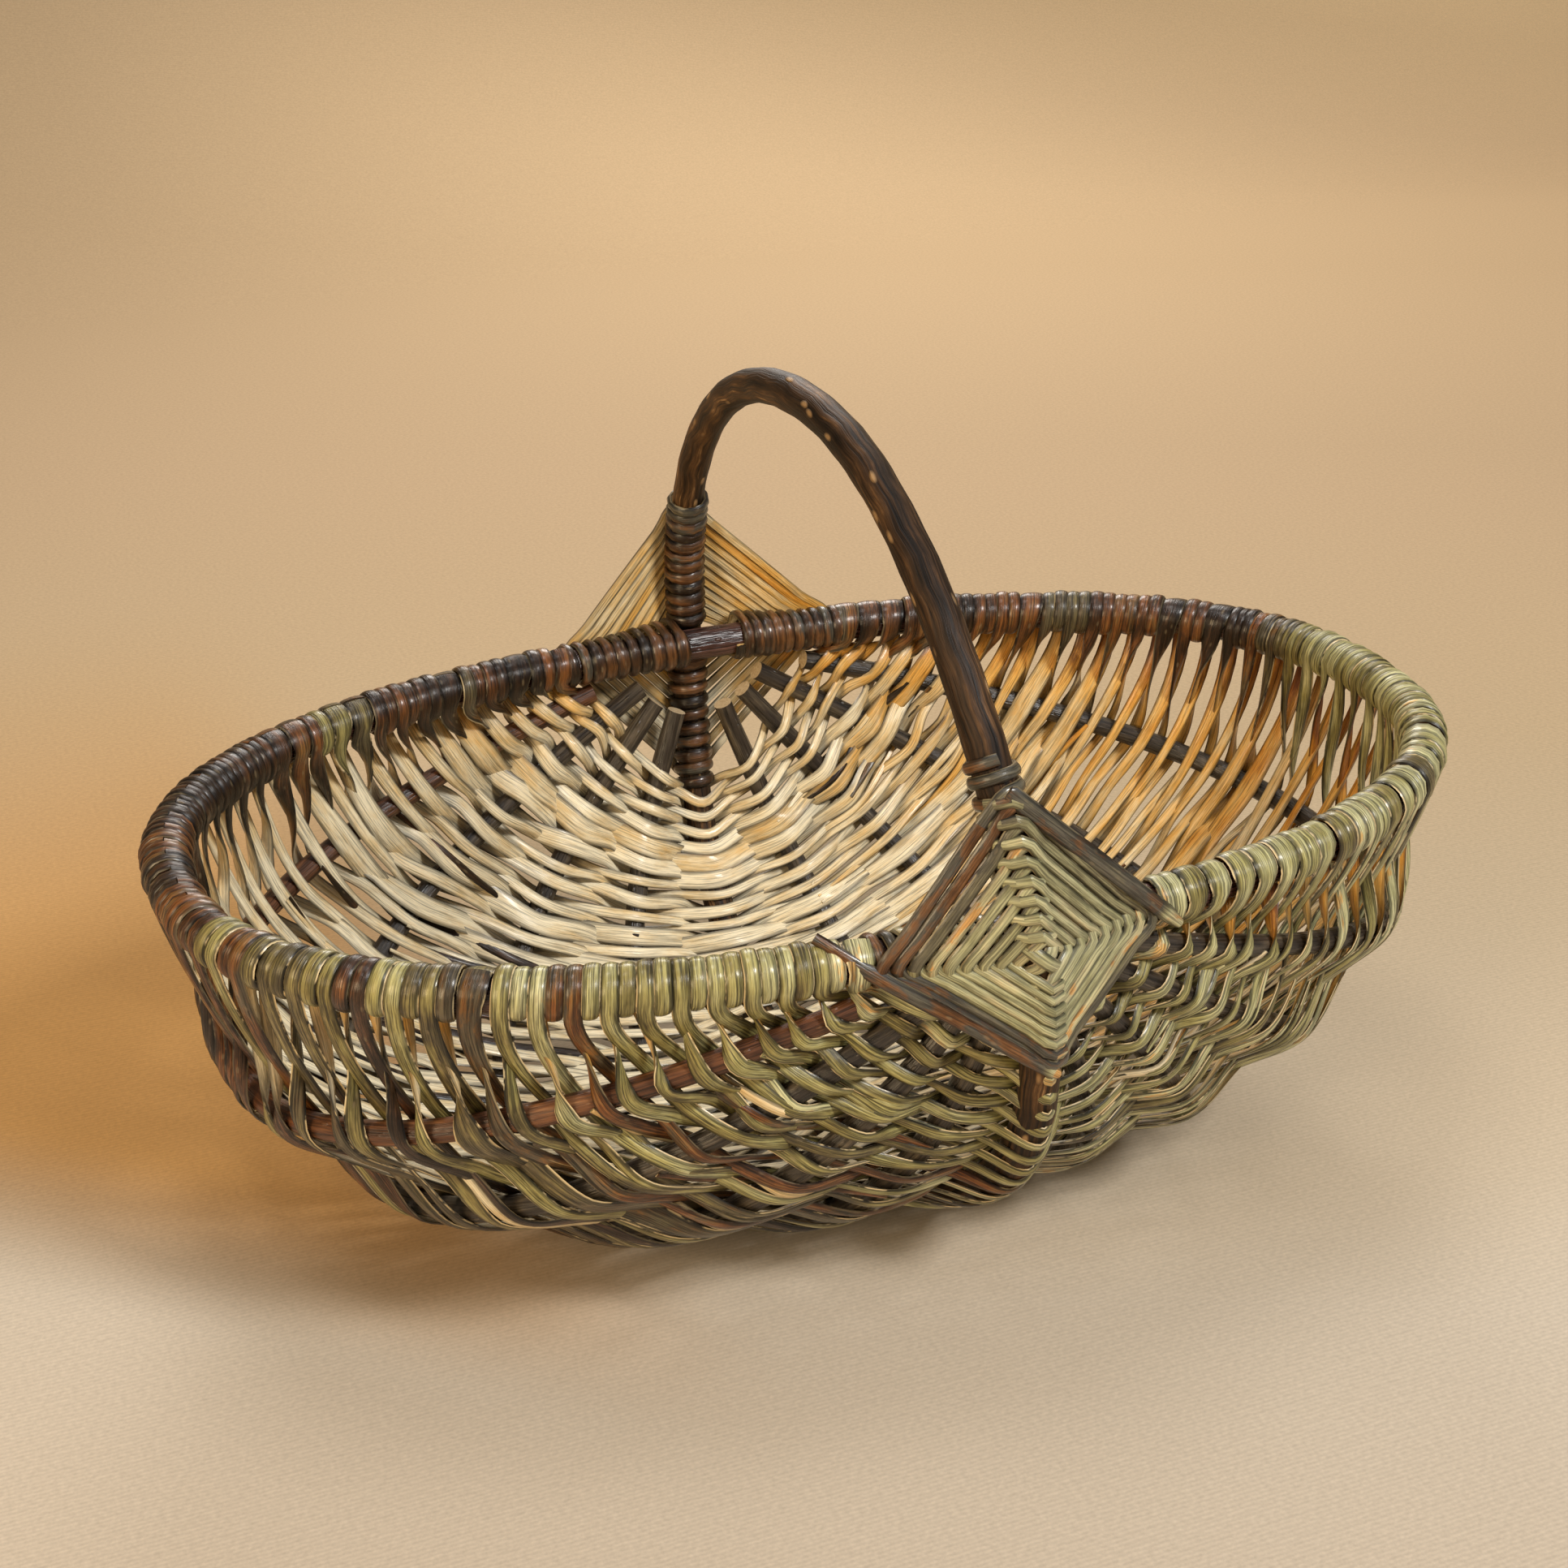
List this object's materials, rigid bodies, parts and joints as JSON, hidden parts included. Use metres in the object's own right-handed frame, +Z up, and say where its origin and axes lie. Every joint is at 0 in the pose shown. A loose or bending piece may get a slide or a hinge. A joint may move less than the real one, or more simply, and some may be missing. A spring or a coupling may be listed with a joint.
{
  "type": "rib basket with hoop handle",
  "caption": "Oval willow rib basket with a rounded hull, a full hoop handle, diamond lashings where the hoops cross, and split strips woven over and under its ribs.",
  "frame": {"origin": "on the ground under the middle of the basket's bounding box", "axes": "+X along the basket's long axis to the right of the picture, +Y to the far side, +Z up"},
  "size_m": [0.5611, 0.357, 0.3476],
  "materials": {
    "rim_rod": "dark brown bark, satin",
    "handle_bark": "dark grey-brown bark with fine lengthwise ridges, satin",
    "rib_rod": "dark willow bark, satin",
    "lashing_strip": "olive and tan willow bark, satin",
    "weave_strip": "split willow, olive bark outside and straw wood inside, satin"
  },
  "bodies": {
    "root": {"rim_hoop": "rim_rod", "handle_hoop": "handle_bark", "rib_left_1": "rib_rod", "rib_left_2": "rib_rod", "rib_left_3": "rib_rod", "rib_left_4": "rib_rod", "rib_right_1": "rib_rod", "rib_right_2": "rib_rod", "rib_right_3": "rib_rod", "rib_right_4": "rib_rod", "gods_eye_front": "lashing_strip", "gods_eye_back": "lashing_strip", "weaver_front_1": "weave_strip", "weaver_front_2": "weave_strip", "weaver_front_3": "weave_strip", "weaver_front_4": "weave_strip", "weaver_front_5": "weave_strip", "weaver_front_6": "weave_strip", "weaver_front_7": "weave_strip", "weaver_front_8": "weave_strip", "weaver_back_1": "weave_strip", "weaver_back_2": "weave_strip", "weaver_back_3": "weave_strip", "weaver_back_4": "weave_strip", "weaver_back_5": "weave_strip", "weaver_back_6": "weave_strip", "weaver_back_7": "weave_strip", "weaver_back_8": "weave_strip"}
  },
  "joints": []
}
